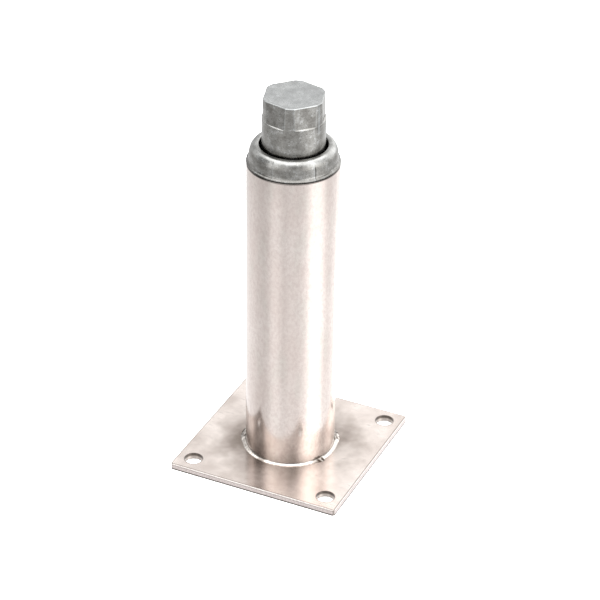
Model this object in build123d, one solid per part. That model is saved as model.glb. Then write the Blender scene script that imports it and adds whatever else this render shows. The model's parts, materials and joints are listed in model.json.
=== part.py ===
from build123d import *
import os
from math import cos, pi, radians, tan

# Adjustable equipment leg, standing on its mounting plate.
# All sizes in millimetres. Z = 0 is the plate's outer face, +Z runs up the tube to the foot.

# ---- Mounting plate ----
plate_side = 82.55              # 3 1/4 in square
plate_thickness = 3.175         # 1/8 in sheet
plate_corner_radius = 1.2
plate_edge_break = 0.25
hole_inset = 7.925              # hole centre to the plate's side
hole_diameter = 8.3             # clears a 5/16 in bolt

# ---- Tube and its weld ----
tube_diameter = 41.275          # 1 5/8 in
tube_wall = 1.52
tube_length = 147.3
tube_edge_break = 0.2
weld_leg = 2.6                  # out along the plate
weld_rise = 1.8                 # up the tube
weld_crown = 0.25               # how far the bead bulges past a straight fillet

# ---- Collar casting ----
spigot_fit = 0.0                # press fit in the tube
spigot_wall = 4.17
spigot_lead = 1.0
flange_height = 9.2
flange_lip_overhang = 0.15      # lip past the tube's outside
flange_lip_height = 0.55
flange_waist_inset = 0.85       # waist above the lip, in from the tube's outside
flange_waist_height = 3.6
flange_flare_height = 1.9
flange_rim_relief = 0.35        # gap left over the tube's outer edge
flange_land = 0.94              # flat ring between the bore's rounded edge and the crown
bore_edge_radius = 0.7
collar_web = 3.6                # shoulder between the bore and the thread
boss_wall = 4.45                # round the thread
boss_length = 14.5              # below the web

# ---- Foot casting ----
shank_gap = 0.85                # radial, between shank and bore
shank_showing = 13.0            # plain shank above the flange in the pictured position
flat_length = 10.4
flat_depth = 1.1                # cut into the shank at the end face
flat_draft = 1.7                # degrees, flats lean out towards the shank
hex_corner_angle = -71.5        # degrees from +X to one corner, pictured position
foot_edge_radius = 0.4
shank_guide = 14.0              # shank left in the bore with the foot fully out
shank_lead = 1.0

# ---- Screw thread, right-handed ----
thread_pitch = 2.54             # 10 per inch
thread_crest_radius = 9.35      # stud, 3/4 in nominal
thread_depth = 1.35
thread_root_share = 0.768       # of the pitch, width of a ridge at its base
thread_crest_share = 0.177
thread_radial_gap = 0.2
thread_embed = 0.2              # ridge sunk into its own core
foot_travel_in = 11.0           # from the pictured position to the stop
foot_travel_out = 14.4
stop_gap = 0.3                  # left at either stop

# ---- Stud, stop washer and retaining ring ----
stud_grip_relief = 0.35         # grip radius under the thread's crest
stud_grip_length = 26.0
stud_thread_relief = 1.2        # plain neck under the shank
stud_shoulder_land = 1.0
journal_step = 1.0              # journal radius under the thread's root
washer_width = 5.2              # radial
washer_thickness = 2.5
washer_hole_gap = 0.3
washer_end_gap = 0.2
ring_groove_depth = 0.7
ring_radial_width = 2.2
ring_thickness = 1.1
ring_mouth_angle = 50.0
stud_tail = 2.0
stud_tail_chamfer = 0.8

# ---- Radii that follow from the sizes ----
tube_radius = tube_diameter / 2
spigot_radius = tube_radius - tube_wall - spigot_fit
bore_radius = spigot_radius - spigot_wall
shank_radius = bore_radius - shank_gap
flat_apothem = shank_radius - flat_depth
thread_root_radius = thread_crest_radius - thread_depth
threaded_hole_radius = thread_crest_radius + thread_radial_gap
boss_radius = threaded_hole_radius + boss_wall
stud_grip_radius = thread_crest_radius - stud_grip_relief
journal_radius = thread_root_radius - journal_step
ring_groove_radius = journal_radius - ring_groove_depth
ridge_root_width = thread_root_share * thread_pitch
ridge_crest_width = thread_crest_share * thread_pitch

# ---- Levels that follow from the sizes ----
tube_end = plate_thickness + tube_length
flange_top = tube_end + flange_height
ledge_level = flange_top + shank_showing
foot_end = ledge_level + flat_length
shank_bottom = flange_top - shank_guide - foot_travel_out
bore_bottom = shank_bottom - foot_travel_in - stop_gap
web_bottom = bore_bottom - collar_web
boss_bottom = web_bottom - boss_length
washer_top = boss_bottom - foot_travel_out - stop_gap
washer_bottom = washer_top - washer_thickness
shoulder_level = washer_top + washer_end_gap
ring_top = washer_bottom - washer_end_gap
ring_bottom = ring_top - ring_thickness
stud_bottom = ring_bottom - stud_tail
stud_top = shank_bottom + stud_grip_length
turns_in = foot_travel_in / thread_pitch
turns_out = foot_travel_out / thread_pitch


def rod(radius, low, high):
    """Upright cylinder between two levels."""
    return Pos(0, 0, low) * Cylinder(radius, high - low, align=(Align.CENTER, Align.CENTER, Align.MIN))


def turned(*edges):
    """Solid of revolution about Z from a closed outline in the XZ plane."""
    return revolve(make_face(Wire(list(edges))), Axis.Z)


def outline(points):
    """Straight edges through (radius, level) points, left open at the end."""
    corners = [Vector(r, 0, z) for r, z in points]
    return [Edge.make_line(a, b) for a, b in zip(corners, corners[1:])]


def helical_ridge(base_radius, tip_radius, level, turns):
    """Trapezoidal ridge along a right-hand helix; its tip may point out or in."""
    path = Helix(pitch=thread_pitch, height=turns * thread_pitch, radius=base_radius)
    path = path.moved(Location((0, 0, level)))
    reach = tip_radius - base_radius
    section = Plane(origin=(base_radius, 0, level), x_dir=(1, 0, 0), z_dir=(0, -1, 0))
    half_root = ridge_root_width / 2
    half_crest = ridge_crest_width / 2
    corners = [(0, -half_root), (reach, -half_crest), (reach, half_crest), (0, half_root)]
    return sweep(section * make_face(Polyline(*corners, close=True)), path=path, is_frenet=True)


def make_mounting_plate():
    """Square sheet with four bolt holes near its corners."""
    hole_spacing = plate_side - 2 * hole_inset
    sheet = RectangleRounded(plate_side, plate_side, plate_corner_radius)
    holes = GridLocations(hole_spacing, hole_spacing, 2, 2) * Circle(hole_diameter / 2)
    plate = extrude(sheet - holes, plate_thickness)
    rims = plate.faces().sort_by(Axis.Z)[-1].outer_wire().edges()
    return chamfer(rims, plate_edge_break)


def make_leg_tube():
    """Straight round tube, square-cut, standing on the plate."""
    tube = rod(tube_radius, plate_thickness, tube_end)
    tube -= rod(tube_radius - tube_wall, plate_thickness, tube_end)
    end_rims = tube.edges().filter_by(GeomType.CIRCLE).group_by(Axis.Z)[-1]
    return chamfer(end_rims, tube_edge_break)


def make_plate_weld():
    """Fillet bead round the tube's foot, slightly crowned."""
    toe = Vector(tube_radius + weld_leg, 0, plate_thickness)
    root = Vector(tube_radius, 0, plate_thickness)
    top = Vector(tube_radius, 0, plate_thickness + weld_rise)
    outward = Vector(weld_rise, 0, weld_leg).normalized()
    crown = (toe + top) * 0.5 + outward * weld_crown
    face = Edge.make_three_point_arc(toe, crown, top)
    return turned(Edge.make_line(root, toe), face, Edge.make_line(top, root))


def flange_outline():
    """Outer outline of the flange, from the lip's underside up to the bore."""
    lip_radius = tube_radius + flange_lip_overhang
    waist_radius = tube_radius - flange_waist_inset
    lip_low = Vector(lip_radius, 0, tube_end + flange_rim_relief)
    lip_high = Vector(lip_radius, 0, tube_end + flange_rim_relief + flange_lip_height)
    flare_top = Vector(waist_radius, 0, tube_end + flange_flare_height)
    waist_top = Vector(waist_radius, 0, tube_end + flange_waist_height)
    edge_out = Vector(bore_radius + bore_edge_radius, 0, flange_top)
    crown = Vector(edge_out.X + flange_land, 0, flange_top)
    edge_in = Vector(bore_radius, 0, flange_top - bore_edge_radius)
    inset = bore_edge_radius * (1 - cos(pi / 4))
    edge_mid = Vector(bore_radius + inset, 0, flange_top - inset)
    shoulder_centre = Plane(origin=(crown.X, 0, waist_top.Z), x_dir=(1, 0, 0), z_dir=(0, -1, 0))
    shoulder_rise = flange_height - flange_waist_height
    shoulder = Edge.make_ellipse(waist_radius - crown.X, shoulder_rise, shoulder_centre, 0, 90)
    return lip_low, edge_in, [
        Edge.make_line(lip_low, lip_high),
        Edge.make_spline([lip_high, flare_top], tangents=[(-1, 0, 0.35), (0, 0, 1)]),
        Edge.make_line(flare_top, waist_top),
        shoulder,
        Edge.make_line(crown, edge_out),
        Edge.make_three_point_arc(edge_out, edge_mid, edge_in),
    ]


def make_collar_insert():
    """One casting: rounded flange, spigot pressed in the tube, bore, web and threaded boss."""
    relief_radius = tube_radius - tube_wall / 2
    lip_low, edge_in, flange = flange_outline()
    inside = outline([
        (edge_in.X, edge_in.Z), (bore_radius, bore_bottom), (threaded_hole_radius, bore_bottom),
        (threaded_hole_radius, boss_bottom), (boss_radius, boss_bottom),
        (boss_radius, web_bottom), (spigot_radius - spigot_lead, web_bottom),
        (spigot_radius, web_bottom + spigot_lead), (spigot_radius, tube_end),
        (relief_radius, tube_end), (relief_radius, lip_low.Z), (lip_low.X, lip_low.Z)])
    body = turned(*flange, *inside)
    tip_radius = thread_root_radius + thread_radial_gap
    margin = ridge_root_width / 2
    turns = (bore_bottom - boss_bottom - 2 * margin) / thread_pitch
    root_radius = threaded_hole_radius + thread_embed
    ridge = helical_ridge(root_radius, tip_radius, boss_bottom + margin, turns)
    return body + ridge


def make_hex_foot():
    """One casting: round shank whose end is cut to six drafted flats, with a blind hole for the stud."""
    shank = rod(shank_radius, shank_bottom, foot_end)
    shank = chamfer(shank.edges().filter_by(GeomType.CIRCLE).group_by(Axis.Z)[0], shank_lead)
    ledge_apothem = flat_apothem + flat_length * tan(radians(flat_draft))
    hexagon = RegularPolygon(ledge_apothem, 6, major_radius=False, rotation=hex_corner_angle)
    prism = extrude(Pos(0, 0, ledge_level) * hexagon, flat_length, taper=flat_draft)
    collar_of_waste = rod(shank_radius + 1, ledge_level, foot_end) - prism
    foot = shank - collar_of_waste
    foot = fillet(foot.faces().sort_by(Axis.Z)[-1].edges(), foot_edge_radius)
    return foot - rod(stud_grip_radius, shank_bottom, stud_top)


def make_foot_stud():
    """Steel stud: plain grip in the foot, right-hand thread, journal and ring groove at its end."""
    thread_low = shoulder_level + stud_shoulder_land
    thread_high = shank_bottom - stud_thread_relief
    stud = rod(stud_grip_radius, shank_bottom, stud_top)
    stud += rod(thread_root_radius, shoulder_level, shank_bottom)
    tail = rod(journal_radius, stud_bottom, shoulder_level)
    stud += chamfer(tail.edges().filter_by(GeomType.CIRCLE).group_by(Axis.Z)[0], stud_tail_chamfer)
    stud -= rod(journal_radius + 1, ring_bottom, ring_top) - rod(ring_groove_radius, ring_bottom, ring_top)
    # The stud's ridge runs half a pitch away from the collar's, so the two are in mesh.
    margin = ridge_root_width / 2
    mesh_level = boss_bottom + margin + thread_pitch / 2
    whole_turns_down = int((mesh_level - thread_low - margin) / thread_pitch)
    start = mesh_level - whole_turns_down * thread_pitch
    turns = (thread_high - margin - start) / thread_pitch
    ridge = helical_ridge(thread_root_radius - thread_embed, thread_crest_radius, start, turns)
    return stud + ridge


def make_stop_washer():
    """Flat washer, loose on the stud's journal, that meets the boss when the foot is fully out."""
    hole = journal_radius + washer_hole_gap
    disc = rod(hole + washer_width, washer_bottom, washer_top)
    return disc - rod(hole, washer_bottom, washer_top)


def make_stud_retaining_ring():
    """Open spring ring in the stud's groove, under the washer."""
    outer = ring_groove_radius + ring_radial_width
    ring = rod(outer, ring_bottom, ring_top) - rod(ring_groove_radius, ring_bottom, ring_top)
    half_mouth = outer * tan(radians(ring_mouth_angle / 2))
    mouth = make_face(Polyline((0, 0), (outer, -half_mouth), (outer, half_mouth), close=True))
    mouth = extrude(Pos(0, 0, ring_bottom) * mouth, ring_thickness)
    return ring - mouth


pieces = {
    "mounting_plate": make_mounting_plate,
    "leg_tube": make_leg_tube,
    "plate_weld": make_plate_weld,
    "collar_insert": make_collar_insert,
    "hex_foot": make_hex_foot,
    "foot_stud": make_foot_stud,
    "stop_washer": make_stop_washer,
    "stud_retaining_ring": make_stud_retaining_ring,
}

os.makedirs("parts", exist_ok=True)
for name, make in pieces.items():
    shape = make()
    export_step(shape, f"parts/{name}.step")
    print(f"{name}: {shape.volume:.0f} mm3, solids {len(shape.solids())}")
print(f"foot turns in {turns_in:.3f}, out {turns_out:.3f}; overall height {foot_end:.2f}")
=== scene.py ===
# %% [markdown]
# # An adjustable equipment leg
# A stainless tube is welded to a square plate, and a zinc casting in the tube's other end carries a hex
# foot that screws in and out. The CAD model fixes every size and every moving body. This file gives the
# leg its surfaces: first the frame and a few helpers, then each piece and its finish, then the studio.

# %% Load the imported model
import json

import bpy
import numpy as np
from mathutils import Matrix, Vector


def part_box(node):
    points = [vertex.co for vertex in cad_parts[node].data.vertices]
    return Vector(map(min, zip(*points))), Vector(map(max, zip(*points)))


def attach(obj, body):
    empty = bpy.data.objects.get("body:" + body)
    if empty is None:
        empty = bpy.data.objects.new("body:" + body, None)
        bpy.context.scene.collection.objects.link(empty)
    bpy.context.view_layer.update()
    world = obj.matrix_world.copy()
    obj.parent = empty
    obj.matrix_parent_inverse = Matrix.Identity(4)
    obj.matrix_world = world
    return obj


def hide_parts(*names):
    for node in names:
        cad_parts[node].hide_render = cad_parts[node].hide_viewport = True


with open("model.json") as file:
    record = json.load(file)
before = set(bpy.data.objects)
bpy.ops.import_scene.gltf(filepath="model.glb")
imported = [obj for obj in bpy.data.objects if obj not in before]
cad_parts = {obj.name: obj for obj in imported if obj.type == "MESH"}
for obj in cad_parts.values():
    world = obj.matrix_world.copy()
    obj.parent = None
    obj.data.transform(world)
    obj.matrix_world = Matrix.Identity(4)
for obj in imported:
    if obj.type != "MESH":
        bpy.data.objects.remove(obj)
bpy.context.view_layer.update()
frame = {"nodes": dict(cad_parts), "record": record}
MM = 0.001

# %% [markdown]
# ## Levels and radii read from the frame
# Every piece takes its place from the CAD nodes' boxes, so nothing here repeats a size that the CAD
# model already holds. Radii are half the width of a box, and levels are its lowest or highest point.


# %% Sizes from the frame
def radius_of(node):
    """Half the width of a round node."""
    low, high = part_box(node)
    return (high.x - low.x) / 2


def levels_of(node):
    """Lowest and highest level of a node."""
    low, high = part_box(node)
    return low.z, high.z


plate_bottom, plate_top = levels_of("mounting_plate")
tube_end = levels_of("leg_tube")[1]
collar_bottom, flange_top = levels_of("collar_insert")
shank_bottom, foot_end = levels_of("hex_foot")
stud_top = levels_of("foot_stud")[1]
weld_bottom, weld_top = levels_of("plate_weld")
tube_radius = radius_of("leg_tube")
weld_radius = radius_of("plate_weld")
shank_radius = radius_of("hex_foot")
lip_radius = radius_of("collar_insert")
thread_crest_radius = radius_of("foot_stud")
print(f"tube radius {tube_radius / MM:.2f} mm, foot end at {foot_end / MM:.2f} mm")

# %% [markdown]
# ## Surfaces from two parameters
# A casting that was turned or nearly so is a profile carried round an axis. The profile is a list of
# (radius, level) points, and the radius may change with the angle, which is how flats, threads and
# parting lines are cut. Whole arrays are worked out at once, and the grid's first and last rings are
# closed with a fan, so that the mesh has an inside.


# %% Grid and mesh helpers
def smoothstep(low, high, value):
    """0 below low, 1 above high, and 3t^2 - 2t^3 between them."""
    t = np.clip((value - low) / (high - low), 0, 1)
    return t * t * (3 - 2 * t)


def angle_gap(angle, centre):
    """Signed angle from centre, wrapped to half a turn each way."""
    return (angle - centre + np.pi) % (2 * np.pi) - np.pi


def ring_mesh(name, x, y, z, marks=(), closed=True):
    """Mesh from grids of shape (rows, columns) that wrap round. With closed, a fan fills both end rows.
    Marks are (name, grid) pairs, which become attributes from 0 to 1 that a material can read."""
    rows, columns = x.shape
    points = np.stack([x, y, z], -1).reshape(-1, 3)
    row, column = np.meshgrid(np.arange(rows - 1), np.arange(columns), indexing="ij")
    after = (column + 1) % columns
    quads = np.stack([row * columns + column, row * columns + after,
                      (row + 1) * columns + after, (row + 1) * columns + column], -1).reshape(-1, 4)
    faces = quads.tolist()
    ends = [(0, -1), (rows - 1, 1)] if closed else []
    for end_row, turn in ends:
        ring = end_row * columns + np.arange(columns)
        hub = len(points)
        points = np.vstack([points, points[ring].mean(0)])
        pair = np.stack([ring, np.roll(ring, -1)], -1)[:, ::turn]
        faces += np.column_stack([pair, np.full(columns, hub)]).tolist()
    mesh = bpy.data.meshes.new(name)
    mesh.from_pydata(points.tolist(), [], faces)
    mesh.polygons.foreach_set("use_smooth", np.ones(len(mesh.polygons), bool))
    for mark, grid in marks:
        values = np.concatenate([grid.ravel(), [grid[end_row].mean() for end_row, _ in ends]])
        attribute = mesh.attributes.new(mark, "FLOAT", "POINT")
        attribute.data.foreach_set("value", values.astype(np.float32))
    mesh.update()
    return mesh


def new_piece(name, mesh, body, node):
    """Object at the origin that rides on a body and stands for a CAD node."""
    piece = bpy.data.objects.new(name, mesh)
    bpy.context.scene.collection.objects.link(piece)
    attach(piece, body)
    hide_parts(node)
    print(f"{name}: {len(mesh.polygons)} faces")
    return piece


def arc_points(centre, radii, start, end, count):
    """Points on an ellipse: centre + (a cos t, b sin t), for t from start to end in degrees."""
    t = np.radians(np.linspace(start, end, count))
    return np.stack([centre[0] + radii[0] * np.cos(t), centre[1] + radii[1] * np.sin(t)], -1)


def resample(points, step):
    """The same outline with extra points on its straight runs, so that no gap is longer than step."""
    points = np.asarray(points, float)
    gaps = np.hypot(*np.diff(points, axis=0).T)
    counts = np.maximum(np.ceil(gaps / step).astype(int), 1)
    parts = [a + (b - a) * np.arange(n)[:, None] / n for a, b, n in zip(points, points[1:], counts)]
    return np.vstack([*parts, points[-1:]])


# %% [markdown]
# ## Casting skin
# Die-cast zinc freezes against a steel mould that is never quite smooth, so a casting has faint swells
# and dents a few millimetres across. They are made as geometry from a sum of sine waves in random
# directions, with a fixed seed, because a real swell bends reflections in a way that bump alone does not.


# %% Swells of a cast surface
def swell(x, y, z, size, seed):
    """Sum of eight sine waves of about that wavelength in seeded random directions, from -1 to 1."""
    generator = np.random.default_rng(seed)
    waves = generator.normal(size=(8, 3))
    waves /= np.linalg.norm(waves, axis=1)[:, None]
    waves *= 2 * np.pi / (size * generator.uniform(0.7, 1.5, 8))[:, None]
    phases = generator.uniform(0, 2 * np.pi, 8)
    place = np.stack([x, y, z], -1)
    return np.sin(place @ waves.T + phases).sum(-1) / 8


# %% [markdown]
# ## Hex foot
# One casting: a plain round shank that slides in the collar, and six drafted flats for a wrench. A flat
# is where the plane a / cos(angle from its middle) lies inside the circle of the shank, so the section
# is the smaller of the two, joined by a small cast radius. The flats stop at a ledge.

# %% Foot sizes
flat_length = 10.4 * MM
flat_apothem = shank_radius - 1.1 * MM
flat_draft = np.tan(np.radians(1.2))
hex_corner = np.radians(-73.0)
ledge_level = foot_end - flat_length
corner_blend = 0.1 * MM
end_edge_radius = 0.45 * MM
stud_grip_radius = thread_crest_radius - 0.35 * MM
flash_angles = np.radians([-15.4, 164.6])
flash_bottom = ledge_level - 3.5 * MM
print(f"ledge at {ledge_level / MM:.2f} mm")


# %% Foot surface
def soft_minimum(a, b, blend):
    """Smaller of a and b, rounded off where they are within blend of each other."""
    h = np.clip(0.5 + 0.5 * (b - a) / blend, 0, 1)
    return b + (a - b) * h - blend * h * (1 - h)


def hex_section(angle, apothem):
    """Distance from the axis to the six flats or the shank, whichever is nearer."""
    sector = np.pi / 3
    from_flat = (angle - hex_corner) % sector - sector / 2
    return soft_minimum(apothem / np.cos(from_flat), shank_radius, corner_blend)


def flats_edge(angle, apothem):
    """1 on the line where a flat meets the round of the shank, falling off within 0.3 mm."""
    sector = np.pi / 3
    from_flat = np.abs((angle - hex_corner) % sector - sector / 2)
    return np.exp(-((from_flat - np.arccos(apothem / shank_radius)) * shank_radius / (0.3 * MM)) ** 2)


def foot_rows():
    """The outline runs up the stud's hole, down under the shank, up its wall, over the ledge and the
    flats, and in across the end face. Each row is (radius at every angle, level, wear and painted
    highlight)."""
    lead = 1.0 * MM
    angle = np.linspace(0, 2 * np.pi, 720, endpoint=False)
    plain = resample([(stud_grip_radius, stud_top), (stud_grip_radius, shank_bottom),
                      (shank_radius - lead, shank_bottom), (shank_radius, shank_bottom + lead),
                      (shank_radius, ledge_level - 0.2 * MM)], 0.8 * MM)
    rows = [(r + 0 * angle, z, 0 * angle) for r, z in plain]
    widest = hex_section(angle, flat_apothem + flat_length * flat_draft)
    # Lighter marks, rubbed wear and painted highlight together: a painted highlight on the ledge, light
    # lines where the flats meet the round, and a lighter end face and end edge.
    ledge_highlight = 0.15 * (widest < shank_radius - corner_blend)
    rows += [(shank_radius - 0.1 * MM * t ** 2 + 0 * angle, ledge_level - 0.2 * MM * (1 - t), ledge_highlight * t)
             for t in (0.4, 0.8, 1.0)]
    for level in np.linspace(ledge_level + 0.05 * MM, foot_end - end_edge_radius, 28):
        apothem = flat_apothem + (foot_end - level) * flat_draft
        rows.append((hex_section(angle, apothem), level, 0.22 * flats_edge(angle, apothem)))
    section = hex_section(angle, flat_apothem)
    for turn in np.radians(np.linspace(0, 90, 8))[1:]:
        rows.append((section - end_edge_radius * (1 - np.cos(turn)),
                     foot_end - end_edge_radius * (1 - np.sin(turn)), 0.45 + 0 * angle))
    rows += [((section - end_edge_radius) * share, foot_end, 0.45 + 0 * angle)
             for share in np.linspace(1, 0.02, 26)[1:]]
    return angle, rows


def make_foot():
    """Foot surface with its parting line and cast swells."""
    angle, rows = foot_rows()
    radius = np.array([row[0] for row in rows])
    level = np.array([row[1] + 0 * angle for row in rows])
    wear_and_highlight = np.array([row[2] for row in rows])
    theta = np.broadcast_to(angle, radius.shape)
    outside = smoothstep(shank_radius - 3 * MM, shank_radius - 1.8 * MM, radius)
    outside = outside * smoothstep(shank_bottom + 1.2 * MM, shank_bottom + 3 * MM, level)
    x, y = radius * np.cos(theta), radius * np.sin(theta)
    bumps = swell(x, y, level, 6 * MM, 3)
    from_flash = np.min([np.abs(angle_gap(theta, a)) for a in flash_angles], axis=0) * shank_radius
    flash = 1 - smoothstep(0.65 * MM, 0.85 * MM, from_flash)
    flash = flash * smoothstep(flash_bottom - 0.6 * MM, flash_bottom, level)
    flash = flash * (1 - smoothstep(foot_end - 1.0 * MM, foot_end - 0.3 * MM, level))
    edge_of_flash = np.exp(-((from_flash - 0.75 * MM) / (0.14 * MM)) ** 2)
    # Painted shade with some dirt: a dark line beside each flash, where its small ledge is shaded.
    shade_and_grime = edge_of_flash * smoothstep(flash_bottom - 0.6 * MM, flash_bottom, level)
    shade_and_grime = shade_and_grime * outside * (1 - smoothstep(foot_end - 0.7 * MM, foot_end - 0.2 * MM, level))
    # The flash is made lighter too, with painted highlight and rubbed wear.
    wear_and_highlight = np.maximum(wear_and_highlight, 0.35 * flash * outside)
    # Painted shade: the shank darkens deeper in the collar's bore.
    depth_in_bore = 1 - smoothstep(flange_top - 2 * MM, flange_top + 2.5 * MM, level)
    shade_and_grime = np.maximum(0.6 * shade_and_grime, 0.35 * depth_in_bore * outside)
    radius = radius + outside * (0.04 * MM * bumps - 0.12 * MM + 0.10 * MM * flash)
    x, y = radius * np.cos(theta), radius * np.sin(theta)
    on_end = smoothstep(foot_end - 0.05 * MM, foot_end, level)
    level = level - on_end * (0.06 * MM + 0.06 * MM * swell(x, y, level, 8 * MM, 5))
    mesh = ring_mesh("hex_foot_casting", x, y, level, [("wear_and_highlight", wear_and_highlight), ("shade_and_grime", shade_and_grime)])
    return new_piece("hex_foot_casting", mesh, "foot", "hex_foot")


hex_foot = make_foot()

# %% [markdown]
# ## Collar casting
# The visible part is a rounded flange with a thin lip over the tube's end. Inside the tube it goes on as
# a spigot with the shank's bore, a web, and a boss with the female thread. The thread is a helix, so the
# radius there depends on level minus pitch times the turn, which shifts the ridge up as the angle grows.

# %% Collar sizes
thread_pitch = 2.54 * MM
bore_radius = shank_radius + 0.85 * MM
spigot_radius = tube_radius - 1.52 * MM
hole_radius = thread_crest_radius + 0.2 * MM
hole_ridge_depth = 1.35 * MM
waist_radius = tube_radius - 0.85 * MM
waist_level = tube_end + 3.6 * MM
flare_level = tube_end + 1.9 * MM
lip_low = tube_end + 0.5 * MM
lip_high = lip_low + 0.55 * MM
bore_edge = 0.7 * MM
crown_radius = bore_radius + bore_edge + 0.94 * MM
boss_radius = hole_radius + 4.45 * MM
boss_length = 14.5 * MM
web_bottom = collar_bottom + boss_length
bore_bottom = web_bottom + 3.6 * MM


# %% Collar surface
def thread_ridge(angle, level, base, depth, pitch, start, root_share, crest_share):
    """Trapezoid wave along a right-hand helix: 1 on the ridge's crest and 0 between ridges.
    The wave's phase is (level - start) / pitch - angle / turn."""
    phase = (level - start) / pitch - angle / (2 * np.pi)
    away = np.abs((phase + 0.5) % 1 - 0.5)
    flank = np.clip((root_share / 2 - away) / ((root_share - crest_share) / 2), 0, 1)
    return base + depth * flank


def collar_outline():
    """Closed loop of (radius, level) from the boss's lower inner edge, up the bore, over the flange
    and down the outside of the spigot and the boss."""
    flare = np.linspace(0, 1, 9)[:, None]
    ease = flare ** 0.55
    lip_to_waist = np.array([[lip_radius, lip_high]]) * (1 - flare)
    lip_to_waist = lip_to_waist + np.array([[waist_radius, flare_level]]) * flare
    lip_to_waist[:, 0] = (lip_radius + (waist_radius - lip_radius) * ease)[:, 0]
    relief = tube_radius - 0.76 * MM
    lip_round = 0.2 * MM
    return np.vstack([
        resample([(hole_radius, bore_bottom), (bore_radius - 0.3 * MM, bore_bottom),
                  (bore_radius, bore_bottom + 0.3 * MM), (bore_radius, flange_top - bore_edge)], 1.2 * MM),
        arc_points((bore_radius + bore_edge, flange_top - bore_edge), (bore_edge, bore_edge),
                   180, 90, 8)[1:],
        arc_points((crown_radius, waist_level), (waist_radius - crown_radius, flange_top - waist_level),
                   90, 0, 22),
        lip_to_waist[::-1],
        arc_points((lip_radius - lip_round, lip_low + lip_round), (lip_round, lip_round), 0, -90, 5),
        resample([(relief, lip_low), (relief, tube_end), (spigot_radius, tube_end),
                  (spigot_radius, web_bottom + 1 * MM), (spigot_radius - 1 * MM, web_bottom),
                  (boss_radius, web_bottom), (boss_radius, collar_bottom), (hole_radius, collar_bottom)],
                 2.5 * MM),
    ])


def make_collar():
    """Collar casting: the loop is carried round the axis, then the threaded hole closes it."""
    loop = collar_outline()
    count = 600
    angle = np.linspace(0, 2 * np.pi, count, endpoint=False)
    hole_levels = np.linspace(collar_bottom, bore_bottom, 110)[1:-1]
    radius = np.vstack([np.repeat(loop[:, :1], count, 1), np.full((len(hole_levels), count), hole_radius)])
    level = np.vstack([np.repeat(loop[:, 1:], count, 1), np.repeat(hole_levels[:, None], count, 1)])
    theta = np.broadcast_to(angle, radius.shape)
    in_hole = np.arange(len(radius))[:, None] >= len(loop)
    run_out = smoothstep(collar_bottom, collar_bottom + 1 * MM, level)
    run_out = run_out * (1 - smoothstep(bore_bottom - 1 * MM, bore_bottom, level))
    start = collar_bottom + 0.384 * thread_pitch
    ridge = thread_ridge(theta, level, 0, hole_ridge_depth, thread_pitch, start, 0.62, 0.177)
    radius = np.where(in_hole, radius - ridge * run_out, radius)
    x, y = radius * np.cos(theta), radius * np.sin(theta)
    visible = smoothstep(tube_end + 0.4 * MM, tube_end + 1.2 * MM, level)
    outer = smoothstep(bore_radius, bore_radius + 1 * MM, radius) * visible
    bumps = swell(x, y, level, 7 * MM, 11)
    parting = np.exp(-(angle_gap(theta, np.radians(-36)) * radius / (0.2 * MM)) ** 2)
    parting = parting * (1 - smoothstep(waist_level + 2.5 * MM, waist_level + 3.5 * MM, level))
    ridge_line = np.exp(-(angle_gap(theta, np.radians(-92)) * radius / (0.35 * MM)) ** 2)
    beside = np.exp(-((angle_gap(theta, np.radians(-36)) * radius + 0.6 * MM) / (0.3 * MM)) ** 2)
    radius = radius + outer * (0.06 * MM * bumps - 0.12 * MM - 0.12 * MM * parting + 0.06 * MM * ridge_line)
    # Lighter marks, painted highlight with a little rubbed wear: a band round the flange's crest, the ridge
    # line, and a strip beside the parting line.
    crest = smoothstep(flange_top - 2.6 * MM, flange_top - 0.9 * MM, level)
    wear_and_highlight = np.maximum.reduce([0.18 * crest * outer, 0.15 * ridge_line * outer, 0.3 * beside * outer])
    # Darker marks: painted shade with some dirt down the bore, under the lip and in the lip's hollow; the
    # parting line's dark seam is dirt.
    below_top = 1 - smoothstep(flange_top - 1.5 * MM, flange_top, level)
    in_bore = 0.62 * (radius < bore_radius + 0.1 * MM) * below_top
    under_lip = 1 - smoothstep(lip_low + 0.1 * MM, lip_low + 0.4 * MM, level)
    low = 1 - smoothstep(flare_level - 0.3 * MM, flare_level + 1.0 * MM, level)
    hollow = 0.42 * low * (radius > waist_radius)
    shade_and_grime = np.maximum.reduce([in_bore, under_lip, hollow, 0.8 * parting * outer])
    x, y = radius * np.cos(theta), radius * np.sin(theta)
    x, y, level, wear_and_highlight, shade_and_grime = (np.vstack([g, g[:1]]) for g in (x, y, level, wear_and_highlight, shade_and_grime))
    mesh = ring_mesh("collar_casting", x, y, level, [("wear_and_highlight", wear_and_highlight), ("shade_and_grime", shade_and_grime)], closed=False)
    return new_piece("collar_casting", mesh, "leg", "collar_insert")


collar = make_collar()

# %% [markdown]
# ## Weld bead
# A fillet weld is a row of small puddles that froze one after another, so it has curved ripples along
# its length. Where the welder started and stopped, the bead is lumpy and dull. The bead's face curves
# inwards from the plate to the tube, and its swell is a wave along the seam, bent so that each ripple is
# a crescent.

# %% Weld bead surface
ripple_pitch = 1.7 * MM
# (centre and half-width in degrees) of the lumpy stretches where a run of weld began or ended
start_stops = np.radians([(-165.0, 16.0), (-24.0, 5.0), (33.0, 14.0), (110.0, 10.0)])


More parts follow.
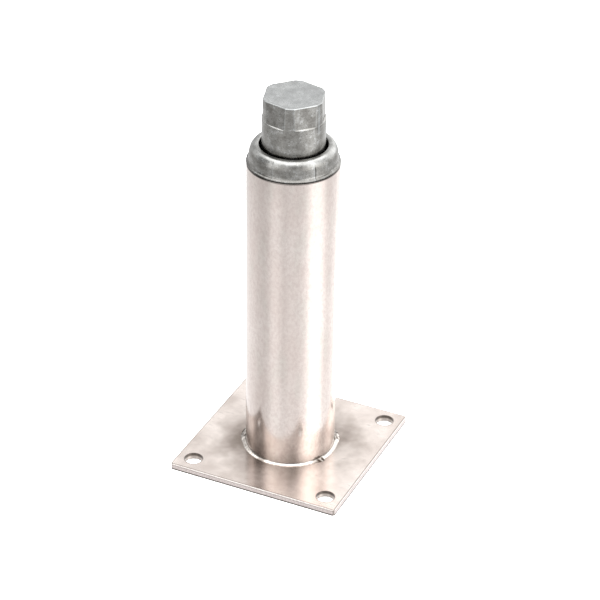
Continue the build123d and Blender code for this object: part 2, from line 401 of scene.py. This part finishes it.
def make_weld():
    """Hollow fillet: a quarter of an ellipse from the tube down to the plate, which curves inwards,
    mixed with a straight face; ripples follow cos(along - bend), with lumps at the starts and stops."""
    around, across = 960, 22
    theta, t = np.meshgrid(np.linspace(0, 2 * np.pi, around, endpoint=False), np.linspace(0, 1, across))
    rise, leg = weld_top - weld_bottom, weld_radius - tube_radius
    crescent = (t - 0.5) ** 2 * 2.4 * MM
    ripple = np.cos(2 * np.pi * (theta * tube_radius - crescent) / ripple_pitch)
    rough = sum(np.exp(-(angle_gap(theta, centre) / width) ** 4) for centre, width in start_stops)
    x0, y0 = tube_radius * np.cos(theta), tube_radius * np.sin(theta)
    uneven = swell(x0, y0, 0 * t, 11 * MM, 21)
    lumps = swell(x0, y0, t * 3 * MM, 1.5 * MM, 23) * rough
    hollow = 0.85 - 0.5 * rough
    out = (1 - t) * (1 - hollow) + (1 - np.sin(np.pi / 2 * t)) * hollow
    up = t * (1 - hollow) + (1 - np.cos(np.pi / 2 * t)) * hollow
    size = 0.62 + 0.06 * uneven + 0.32 * np.clip(rough, 0, 1)
    swelling = np.sin(np.pi * t) * (0.010 * MM * ripple + (0.1 + 0.4 * lumps) * MM * rough)
    out = np.clip(leg * size * out + 0.7 * swelling, 0, leg)
    up = np.clip(rise * (size - 0.1) * up + swelling, 0, rise)
    # A dark line along both toes of the bead: painted shade, with some oxide.
    toe_lines = np.exp(-((t - 1) / 0.14) ** 2) + 0.5 * np.exp(-(t / 0.07) ** 2)
    radius = np.vstack([tube_radius + out, np.full((1, around), tube_radius)])
    level = np.vstack([weld_bottom + up, np.full((1, around), weld_bottom)])
    # Two darker spots on the bead, at -104 and -29 degrees.
    dark_spots = sum(np.exp(-(angle_gap(theta, np.radians(a)) / 0.11) ** 4) for a in (-104, -29))
    # Darkening: oxide at the starts and stops, the two dark spots, and the painted shade along the toes.
    oxide_and_shade = np.clip(rough * (0.5 - lumps * 1.6) + 0.6 * dark_spots + 0.85 * toe_lines, 0, 1)
    theta = np.vstack([theta, theta[:1]])
    oxide_and_shade = np.vstack([oxide_and_shade, oxide_and_shade[:1]])
    radius, level, theta, oxide_and_shade = (np.vstack([g, g[:1]]) for g in (radius, level, theta, oxide_and_shade))
    mesh = ring_mesh("weld_bead", radius * np.cos(theta), radius * np.sin(theta), level,
                     [("oxide_and_shade", oxide_and_shade)], closed=False)
    return new_piece("weld_bead", mesh, "leg", "plate_weld")


weld = make_weld()

# %% [markdown]
# ## Materials
# Each finish is a small node tree on the piece's own coordinates, in metres, so a pattern's scale is one
# over its real size. Colours are written as sRGB hex and turned to linear light by one function. Marks
# that belong to a place on a piece, such as a rubbed edge, painted highlights and painted shade in gaps,
# come from attributes worked out with its shape.


# %% Colour and node helpers
def linear(code):
    """Linear RGBA from an sRGB hex code: ((c + 0.055) / 1.055) ^ 2.4 above the dark toe."""
    parts = [int(code[i:i + 2], 16) / 255 for i in (1, 3, 5)]
    return [*(c / 12.92 if c <= 0.04045 else ((c + 0.055) / 1.055) ** 2.4 for c in parts), 1.0]


def add(tree, kind, *values, stops=(), **settings):
    """Adds a node. Values go to its inputs in order, and settings are its properties or named inputs:
    a number, a vector, an sRGB hex code, or another node's output, which is linked. Stops fill a colour
    ramp with (position, hex code or grey level). Returns the output that is in use."""
    node = tree.nodes.new(kind)
    named = {key: settings.pop(key) for key in list(settings) if not hasattr(node, key)}
    for key, value in settings.items():
        setattr(node, key, value)
    pairs = list(zip([socket for socket in node.inputs if socket.enabled], values))
    pairs += [(node.inputs[key.replace("_", " ")], value) for key, value in named.items()]
    for socket, value in pairs:
        if isinstance(value, bpy.types.NodeSocket):
            tree.links.new(value, socket)
        else:
            socket.default_value = linear(value) if isinstance(value, str) else value
    while stops and len(node.color_ramp.elements) < len(stops):
        node.color_ramp.elements.new(1.0)
    for index, (position, colour) in enumerate(stops):
        element = node.color_ramp.elements[index]
        element.position = position
        element.color = linear(colour) if isinstance(colour, str) else (colour, colour, colour, 1.0)
    return next(socket for socket in node.outputs if socket.enabled)


def metal(name):
    """New material with a fully metallic surface; returns it with its tree, shader and coordinates."""
    material = bpy.data.materials.new(name)
    material.use_nodes = True
    tree = material.node_tree
    shader = tree.nodes["Principled BSDF"]
    shader.inputs["Metallic"].default_value = 1.0
    place = add(tree, "ShaderNodeTexCoord").node.outputs["Object"]
    return material, tree, shader, place


def per(size, *stretch):
    """Scale of a pattern whose lumps are size mm across, drawn out along x, y and z by the stretch."""
    return tuple(1 / (size * MM * s) for s in stretch)


def cover(objects, material):
    """Puts one material on every slot of these objects."""
    for item in objects:
        item.data.materials.clear()
        item.data.materials.append(material)


# %% [markdown]
# ### Satin stainless tube
# Austenitic stainless, polished round and round on a belt. The belt leaves short scratches round the
# tube, too fine to see singly: they are drawn near half a millimetre wide so that they show as a faint
# tooth. Drawn tube is never quite straight, so long shallow waves make the upright bands waver. The dark
# patches at its foot aren't painted: the tube mirrors the plate there, and the plate mirrors the sky.


# %% Satin stainless tube material
def belt_polished_tube():
    """Warm grey metal with short scratches round the axis, long waves and a handling haze; a thin brown
    heat tint lies just above the weld, and a dark band of painted shade with some dirt lies in the joint
    under the collar's lip."""
    material, tree, shader, place = metal("satin stainless steel tube")
    fitted = add(tree, "ShaderNodeMapping", place, Scale=per(0.5, 9, 9, 1))
    scratches = add(tree, "ShaderNodeTexNoise", fitted, Scale=1.0, Detail=3.0)
    fitted = add(tree, "ShaderNodeMapping", place, Scale=per(20, 1, 1, 1.8))
    haze = add(tree, "ShaderNodeTexNoise", fitted, Scale=1.0, Detail=3.0, Roughness=0.6)
    fitted = add(tree, "ShaderNodeMapping", place, Scale=per(6, 1, 1, 3))
    smears = add(tree, "ShaderNodeTexNoise", fitted, Scale=1.0, Detail=2.0)
    fitted = add(tree, "ShaderNodeMapping", place, Scale=per(26, 1, 1, 2.6))
    waves = add(tree, "ShaderNodeTexNoise", fitted, Scale=1.0, Detail=1.0)
    fitted = add(tree, "ShaderNodeMapping", place, Scale=per(1.3, 1, 1, 1.5))
    mottle = add(tree, "ShaderNodeTexNoise", fitted, Scale=1.0, Detail=3.0, Roughness=0.6)
    tint = add(tree, "ShaderNodeValToRGB", haze, stops=[(0.32, "#CEC2BC"), (0.68, "#DCD3CE")])
    smeared = add(tree, "ShaderNodeMapRange", smears, 0.5, 0.72, 0.0, 0.6)
    tint = add(tree, "ShaderNodeMix", smeared, tint, "#CBC6BF", data_type="RGBA")
    mottled = add(tree, "ShaderNodeMapRange", mottle, 0.4, 0.65, 0.0, 0.45)
    tint = add(tree, "ShaderNodeMix", mottled, tint, "#BFB1AD", data_type="RGBA")
    height = add(tree, "ShaderNodeSeparateXYZ", place).node.outputs[2]
    heat = add(tree, "ShaderNodeMapRange", height, weld_top, weld_top + 5 * MM, 0.35, 0.0)
    tint = add(tree, "ShaderNodeMix", heat, tint, "#7C726B", data_type="RGBA")
    # A dark band on the tube's last half millimetre under the collar's lip: painted shade, with some dirt in
    # the joint.
    under_lip = add(tree, "ShaderNodeMapRange", height, tube_end - 0.5 * MM, tube_end - 0.25 * MM, 0.0, 0.85)
    tint = add(tree, "ShaderNodeMix", under_lip, tint, "#2B2826", data_type="RGBA")
    tree.links.new(tint, shader.inputs["Base Color"])
    rough = add(tree, "ShaderNodeMapRange", haze, 0.3, 0.7, 0.10, 0.17)
    rough = add(tree, "ShaderNodeMath", scratches, 0.06, rough, operation="MULTIPLY_ADD")
    tree.links.new(rough, shader.inputs["Roughness"])
    relief = add(tree, "ShaderNodeBump", Height=waves, Strength=1.0, Distance=0.45 * MM)
    relief = add(tree, "ShaderNodeBump", Height=mottle, Strength=1.0, Distance=0.005 * MM, Normal=relief)
    relief = add(tree, "ShaderNodeBump", Height=scratches, Strength=1.0, Distance=0.002 * MM, Normal=relief)
    tree.links.new(relief, shader.inputs["Normal"])
    return material


cover([frame["nodes"]["leg_tube"]], belt_polished_tube())

# %% [markdown]
# ### Rolled stainless plate
# Cold-rolled sheet, cut on a shear and punched. Rolling leaves a fine grain along one side and a skin
# that is a little duller than the tube's. Welding leaves a brownish heat tint round the tube, taken here
# to be strongest on two opposite sides. A sheared side has a pale burnished band and a torn, darker band
# below it, with painted shade added at the bottom where the sheet meets the floor and a painted highlight
# along the top edge. The punched holes' walls are painted with shade, darkest in their upper part, and the
# top face has painted shade along its edges and round the holes.

# %% Plate marks
holes = next(mount["dims"] for mount in frame["record"]["mounts"] if mount["kind"] == "bolt_pattern")
hole_offset = holes["spacing_x_mm"] / 2 * MM
hole_radius_in_plate = holes["hole_r_mm"] * MM
plate_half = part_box("mounting_plate")[1].x
hot_sides = np.radians(25.0)


def plate_marks(tree, place):
    """Distances that place the marks: reach = greater of |x| and |y|, from_hole = distance from the
    nearest hole's axis, from_axis = distance from the tube's axis."""
    x, y, _ = add(tree, "ShaderNodeSeparateXYZ", place).node.outputs
    reach = add(tree, "ShaderNodeMath", x, operation="ABSOLUTE")
    reach = add(tree, "ShaderNodeMath", reach, add(tree, "ShaderNodeMath", y, operation="ABSOLUTE"),
                operation="MAXIMUM")
    folded = add(tree, "ShaderNodeVectorMath", place, operation="ABSOLUTE")
    centre = add(tree, "ShaderNodeVectorMath", folded, (1.0, 1.0, 0.0), operation="MULTIPLY")
    hole = (hole_offset, hole_offset, 0.0)
    off_hole = add(tree, "ShaderNodeVectorMath", centre, hole, operation="SUBTRACT")
    from_hole = add(tree, "ShaderNodeVectorMath", off_hole, operation="LENGTH")
    from_axis = add(tree, "ShaderNodeVectorMath", centre, operation="LENGTH")
    return reach, from_hole, from_axis


def hot_lobes(tree, place):
    """(u^2 - v^2) / (u^2 + v^2) with u along the hot sides: 1 towards them and -1 across them."""
    turned = add(tree, "ShaderNodeMapping", place, Rotation=(0, 0, -hot_sides))
    u, v, _ = add(tree, "ShaderNodeSeparateXYZ", turned).node.outputs
    u = add(tree, "ShaderNodeMath", u, 2.0, operation="POWER")
    v = add(tree, "ShaderNodeMath", v, 2.0, operation="POWER")
    gap = add(tree, "ShaderNodeMath", u, v, operation="SUBTRACT")
    return add(tree, "ShaderNodeMath", gap, add(tree, "ShaderNodeMath", u, v, operation="ADD"),
               operation="DIVIDE")


# %% Rolled stainless plate material
def plate_tint(tree, place, haze, reach, from_hole, from_axis):
    """Colour of the broad faces: haze, heat tint round the weld, scuffs, and painted shade along the edges
    and round the holes.
    """
    tint = add(tree, "ShaderNodeValToRGB", haze, stops=[(0.34, "#CDC2BB"), (0.66, "#DDD4CE")])
    reached = add(tree, "ShaderNodeMath", haze, 14 * MM, from_axis, operation="MULTIPLY_ADD")
    near = add(tree, "ShaderNodeMapRange", reached, weld_radius + 5 * MM, weld_radius + 22 * MM, 1.0, 0.0)
    hot = add(tree, "ShaderNodeMapRange", hot_lobes(tree, place), -0.4, 0.9, 0.4, 0.95)
    heat = add(tree, "ShaderNodeMath", near, hot, operation="MULTIPLY")
    patchy = add(tree, "ShaderNodeMapRange", haze, 0.35, 0.65, 1.0, 0.75)
    heat = add(tree, "ShaderNodeMath", heat, patchy, operation="MULTIPLY")
    tint = add(tree, "ShaderNodeMix", heat, tint, "#80756D", data_type="RGBA")
    fitted = add(tree, "ShaderNodeMapping", place, Rotation=(0, 0, 0.7), Scale=per(0.9, 4, 1, 1))
    scuffs = add(tree, "ShaderNodeTexNoise", fitted, Scale=1.0, Detail=3.0, Roughness=0.6)
    scuffs = add(tree, "ShaderNodeMapRange", scuffs, 0.6, 0.7, 0.0, 0.4)
    worn = add(tree, "ShaderNodeMapRange", haze, 0.5, 0.6, 0.0, 1.0)
    scuffs = add(tree, "ShaderNodeMath", scuffs, worn, operation="MULTIPLY")
    tint = add(tree, "ShaderNodeMix", scuffs, tint, "#8E857F", data_type="RGBA")
    # Painted shade along the top face's edges and round the holes.
    inner, outer = plate_half - 0.75 * MM, plate_half - 0.3 * MM
    outline = add(tree, "ShaderNodeMapRange", reach, inner, outer, 0.0, 0.85)
    rim_start, rim_end = hole_radius_in_plate + 0.1 * MM, hole_radius_in_plate + 0.5 * MM
    rim = add(tree, "ShaderNodeMapRange", from_hole, rim_start, rim_end, 0.8, 0.0)
    edges = add(tree, "ShaderNodeMath", outline, rim, operation="MAXIMUM")
    return add(tree, "ShaderNodeMix", edges, tint, "#77706B", data_type="RGBA")


def rolled_plate():
    """Warm grey sheet with grain and marks; its sides show burnished and torn bands with painted shade and a
    painted highlight, and its holes painted shade.
    """
    material, tree, shader, place = metal("cold rolled stainless sheet")
    reach, from_hole, from_axis = plate_marks(tree, place)
    height = add(tree, "ShaderNodeSeparateXYZ", place).node.outputs[2]
    fitted = add(tree, "ShaderNodeMapping", place, Scale=per(0.5, 16, 1, 1))
    grain = add(tree, "ShaderNodeTexNoise", fitted, Scale=1.0, Detail=4.0, Roughness=0.6)
    haze = add(tree, "ShaderNodeTexNoise", place, Scale=1 / (16 * MM), Detail=3.0, Roughness=0.6)
    tint = plate_tint(tree, place, haze, reach, from_hole, from_axis)
    share = add(tree, "ShaderNodeMapRange", height, plate_bottom, plate_top, 0.0, 1.0)
    # The side's colour bands by height: a dark band at the bottom, partly the torn edge and partly painted
    # shade where the sheet meets the floor; a pale middle; a dark line; and a pale top that is a painted
    # highlight on the edge break.
    side = add(tree, "ShaderNodeValToRGB", share, stops=[
        (0.0, "#4A4541"), (0.15, "#5D5752"), (0.27, "#D5CBC8"), (0.64, "#DCD2CF"), (0.72, "#A79D98"),
        (0.82, "#E6E0DC")])
    speckle = add(tree, "ShaderNodeTexNoise", place, Scale=1 / (0.6 * MM), Detail=2.0, Roughness=0.6)
    speckled = add(tree, "ShaderNodeMapRange", speckle, 0.45, 0.65, 0.0, 0.5)
    side = add(tree, "ShaderNodeMix", speckled, side, "#B3A7A6", data_type="RGBA", blend_type="MULTIPLY")
    on_side = add(tree, "ShaderNodeMath", reach, plate_half - 0.1 * MM, operation="GREATER_THAN")
    tint = add(tree, "ShaderNodeMix", on_side, tint, side, data_type="RGBA")
    # The holes' walls are painted with shade: darkest in their upper part, lighter below, with a dark line
    # at the bottom.
    hole = add(tree, "ShaderNodeValToRGB", share, stops=[
        (0.0, "#6A625C"), (0.12, "#B5ACA6"), (0.5, "#A69C95"), (0.62, "#5F5751")])
    in_hole = add(tree, "ShaderNodeMath", from_hole, hole_radius_in_plate + 0.05 * MM, operation="LESS_THAN")
    tint = add(tree, "ShaderNodeMix", in_hole, tint, hole, data_type="RGBA")
    tree.links.new(tint, shader.inputs["Base Color"])
    rough = add(tree, "ShaderNodeMapRange", haze, 0.35, 0.65, 0.14, 0.22)
    rough = add(tree, "ShaderNodeMath", grain, 0.05, rough, operation="MULTIPLY_ADD")
    rough = add(tree, "ShaderNodeMath", on_side, 0.15, rough, operation="MULTIPLY_ADD")
    tree.links.new(rough, shader.inputs["Roughness"])
    relief = add(tree, "ShaderNodeBump", Height=haze, Strength=1.0, Distance=0.02 * MM)
    relief = add(tree, "ShaderNodeBump", Height=grain, Strength=1.0, Distance=0.003 * MM, Normal=relief)
    tree.links.new(relief, shader.inputs["Normal"])
    return material


cover([frame["nodes"]["mounting_plate"]], rolled_plate())

# %% [markdown]
# ### Weld metal
# Stainless that melted and froze under shielding gas: bright and glassy along the bead, brown and black
# where oxide stayed at the starts and stops. Along both toes a dark line is painted shade with some
# oxide, and two spots on the bead are darker.


# %% Weld metal material
def weld_metal():
    """Bright metal, darkened by oxide at the starts and stops, painted shade with some oxide along the toes,
    and two dark spots.
    """
    material, tree, shader, place = metal("fused stainless weld")
    oxide_and_shade = add(tree, "ShaderNodeAttribute", attribute_name="oxide_and_shade").node.outputs["Fac"]
    cloud = add(tree, "ShaderNodeTexNoise", place, Scale=1 / (1.6 * MM), Detail=3.0, Roughness=0.6)
    tint = add(tree, "ShaderNodeValToRGB", cloud, stops=[(0.35, "#AFA7A0"), (0.6, "#D3CDC7")])
    tint = add(tree, "ShaderNodeMix", oxide_and_shade, tint, "#3F362F", data_type="RGBA")
    tree.links.new(tint, shader.inputs["Base Color"])
    rough = add(tree, "ShaderNodeMapRange", oxide_and_shade, 0.0, 1.0, 0.14, 0.42)
    tree.links.new(rough, shader.inputs["Roughness"])
    return material


cover([weld], weld_metal())

# %% [markdown]
# ### Die-cast zinc
# Zinc alloy straight from the mould: a dull grey skin, cloudy where the metal folded as it filled, with
# pits and pale rubbed spots. Corners, the foot's end and the flange's crest are made lighter, partly rubbed
# wear and partly painted highlight, and painted shade with some dirt darkens the gaps, the bore and the
# lip's hollow. The clouds are a few millimetres across and the pits well under one.


# %% Die-cast zinc material
def die_cast_zinc():
    """Mottled grey metal with fine pits, lighter for rubbed wear and painted highlight, darker for painted
    shade and dirt.
    """
    material, tree, shader, place = metal("die-cast zinc alloy")
    wear_and_highlight = add(tree, "ShaderNodeAttribute", attribute_name="wear_and_highlight").node.outputs["Fac"]
    shade_and_grime = add(tree, "ShaderNodeAttribute", attribute_name="shade_and_grime").node.outputs["Fac"]
    clouds = add(tree, "ShaderNodeTexNoise", place, Scale=1 / (4 * MM), Detail=5.0, Roughness=0.6)
    spots = add(tree, "ShaderNodeTexNoise", place, Scale=1 / (1.2 * MM), Detail=3.0, Roughness=0.6)
    flecks = add(tree, "ShaderNodeTexNoise", place, Scale=1 / (0.5 * MM), Detail=1.0)
    base = add(tree, "ShaderNodeValToRGB", clouds, stops=[(0.3, "#787672"), (0.7, "#9F9E9B")])
    rubbed = add(tree, "ShaderNodeMapRange", spots, 0.52, 0.68, 0.0, 0.6)
    raised = add(tree, "ShaderNodeMapRange", clouds, 0.45, 0.6, 0.0, 1.0)
    rubbed = add(tree, "ShaderNodeMath", rubbed, raised, operation="MULTIPLY")
    base = add(tree, "ShaderNodeMix", rubbed, base, "#C3C5C6", data_type="RGBA")
    stained = add(tree, "ShaderNodeMapRange", flecks, 0.3, 0.42, 0.4, 0.0)
    base = add(tree, "ShaderNodeMix", stained, base, "#4C4B48", data_type="RGBA")
    # Made lighter for rubbed wear and painted highlight, then darker for painted shade and dirt.
    base = add(tree, "ShaderNodeMix", wear_and_highlight, base, "#B9BDBF", data_type="RGBA")
    shade_and_dirt_share = add(tree, "ShaderNodeMath", shade_and_grime, 0.9, operation="MULTIPLY")
    base = add(tree, "ShaderNodeMix", shade_and_dirt_share, base, "#1D1B19", data_type="RGBA")
    tree.links.new(base, shader.inputs["Base Color"])
    rough = add(tree, "ShaderNodeMapRange", clouds, 0.3, 0.7, 0.20, 0.30)
    tree.links.new(rough, shader.inputs["Roughness"])
    relief = add(tree, "ShaderNodeBump", Height=clouds, Strength=1.0, Distance=0.06 * MM)
    relief = add(tree, "ShaderNodeBump", Height=spots, Strength=1.0, Distance=0.03 * MM, Normal=relief)
    relief = add(tree, "ShaderNodeBump", Height=flecks, Strength=1.0, Distance=0.012 * MM, Normal=relief)
    tree.links.new(relief, shader.inputs["Normal"])
    return material


cover([hex_foot, collar], die_cast_zinc())

# %% [markdown]
# ### Hidden steel
# The stud and its washer are machined steel with a zinc plating, and the retaining ring is spring steel
# with a dark phosphate coat. They are out of sight until the leg is taken apart.


# %% Plated and phosphated steel materials
def coated_steel(name, dark, light, rough, speck):
    """Metal with fine machining variation between two tones; speck is the grain's size in mm."""
    material, tree, shader, place = metal(name)
    grain = add(tree, "ShaderNodeTexNoise", place, Scale=1 / (speck * MM), Detail=3.0, Roughness=0.6)
    tint = add(tree, "ShaderNodeValToRGB", grain, stops=[(0.3, dark), (0.7, light)])
    tree.links.new(tint, shader.inputs["Base Color"])
    worn = add(tree, "ShaderNodeMapRange", grain, 0.0, 1.0, rough - 0.06, rough + 0.08)
    tree.links.new(worn, shader.inputs["Roughness"])
    return material


nodes = frame["nodes"]
cover([nodes["foot_stud"], nodes["stop_washer"]],
      coated_steel("zinc-plated steel", "#A9A9A2", "#C9C9C4", 0.3, 1.5))
cover([nodes["stud_retaining_ring"]],
      coated_steel("phosphated spring steel", "#2E2E30", "#45464A", 0.45, 0.8))

# %% [markdown]
# ## Studio
# A white sweep, lit so hard that it clips to white. The metal shows what stands round it, so the sky is
# given soft upright bands: a bright side, a dimmer camera side, and paler gaps between them. The floor
# is left out of reflections, so that the lower half of the sky stands for the lit floor.

# %% Sky bands
# (direction in degrees anticlockwise from +X, strength above the horizon, strength below it)
sky_bands = [
    (-180, 1.5, 1.2), (-172, 0.8, 1.15), (-160, 0.4, 1.05), (-150, 0.3, 1.0), (-139, 0.55, 0.97),
    (-127, 1.9, 1.05),
    (-116, 2.1, 1.32), (-106, 2.0, 1.38), (-96, 1.5, 1.28), (-86, 1.35, 1.1), (-76, 1.15, 1.16),
    (-66, 0.75, 1.22), (-57, 0.6, 1.2), (-47, 0.9, 1.22), (-37, 1.9, 1.38), (-27, 2.9, 1.65),
    (-18, 3.2, 2.1), (-5, 3.2, 2.25), (8, 2.7, 2.15), (18, 1.7, 1.8), (28, 1.0, 1.48), (42, 2.1, 1.42),
    (58, 2.8, 1.6), (75, 2.6, 1.85), (100, 1.9, 1.7), (110, 1.42, 1.6), (120, 0.95, 1.4),
    (135, 0.85, 1.3), (152, 0.9, 1.3), (168, 1.2, 1.25), (180, 1.5, 1.2),
]
band_peak = 3.5


def make_sky():
    """World colour by direction: a ramp round the horizon for each half of the sky, and a bright top."""
    world = bpy.data.worlds.new("studio sky")
    bpy.context.scene.world = world
    world.use_nodes = True
    tree = world.node_tree
    direction = add(tree, "ShaderNodeTexCoord").node.outputs["Generated"]
    x, y, z = add(tree, "ShaderNodeSeparateXYZ", direction).node.outputs
    turn = add(tree, "ShaderNodeMath", y, x, operation="ARCTAN2")
    turn = add(tree, "ShaderNodeMapRange", turn, -np.pi, np.pi, 0.0, 1.0)
    spots = [(band[0] + 180) / 360 for band in sky_bands]
    upper = [(spot, band[1] / band_peak) for spot, band in zip(spots, sky_bands)]
    upper = add(tree, "ShaderNodeValToRGB", turn, stops=upper)
    lower = [(spot, band[2] / band_peak) for spot, band in zip(spots, sky_bands)]
    lower = add(tree, "ShaderNodeValToRGB", turn, stops=lower)
    far_floor = add(tree, "ShaderNodeMapRange", z, -0.525, -0.465, 1.0, 0.68)
    lower = add(tree, "ShaderNodeVectorMath", lower, operation="SCALE", Scale=far_floor)
    above = add(tree, "ShaderNodeMapRange", z, -0.12, 0.12, 0.0, 1.0)
    colour = add(tree, "ShaderNodeMix", above, lower, upper, data_type="RGBA")
    overhead = add(tree, "ShaderNodeMapRange", z, 0.62, 0.85, 0.0, 1.0)
    colour = add(tree, "ShaderNodeMix", overhead, colour, "#FFFFFF", data_type="RGBA")
    background = tree.nodes["Background"]
    tree.links.new(colour, background.inputs["Color"])
    background.inputs["Strength"].default_value = band_peak
    print("brightest band", max(max(b[1:]) for b in sky_bands))
    return world


make_sky()


# %% Floor
def make_floor():
    """Round white floor whose own glow keeps it at paper white under the plate's edges."""
    angle = np.linspace(0, 2 * np.pi, 96, endpoint=False)
    rings = np.array([0.02, 1.0, 8.0])[:, None]
    x, y = rings * np.cos(angle), rings * np.sin(angle)
    mesh = ring_mesh("studio_floor", x[::-1], y[::-1], np.full_like(x, -0.02 * MM), closed=False)
    floor = bpy.data.objects.new("studio_floor", mesh)
    bpy.context.scene.collection.objects.link(floor)
    material = bpy.data.materials.new("white paper sweep")
    material.use_nodes = True
    shader = material.node_tree.nodes["Principled BSDF"]
    shader.inputs["Base Color"].default_value = linear("#F4F3F1")
    shader.inputs["Roughness"].default_value = 0.9
    shader.inputs["Emission Color"].default_value = linear("#FFFFFF")
    shader.inputs["Emission Strength"].default_value = 0.8
    mesh.materials.append(material)
    floor.visible_glossy = False
    return floor


make_floor()

# %% [markdown]
# ## Camera
# A long lens looking down at the leg. The direction is given by an azimuth and an elevation, and the
# camera is rolled a little, as a hand-held one is.

# %% Camera
from math import cos, radians, sin

from mathutils import Matrix, Vector

azimuth, elevation, roll = radians(24.72), radians(32.05), radians(0.81)
distance = 1.092
target = Vector((4.4, -0.8, 81.3)) * MM


def make_camera():
    """Camera on a line back from the target, turned about its own axis by the roll."""
    back = Vector((sin(azimuth) * cos(elevation), -cos(azimuth) * cos(elevation), sin(elevation)))
    lens = bpy.data.cameras.new("camera")
    lens.lens = 146.3
    lens.sensor_width = 36.0
    camera = bpy.data.objects.new("camera", lens)
    camera.matrix_world = (Matrix.Translation(target + back * distance)
                           @ back.to_track_quat("Z", "Y").to_matrix().to_4x4()
                           @ Matrix.Rotation(roll, 4, "Z"))
    bpy.context.scene.collection.objects.link(camera)
    bpy.context.scene.camera = camera


make_camera()
bpy.context.scene.view_settings.view_transform = "Standard"
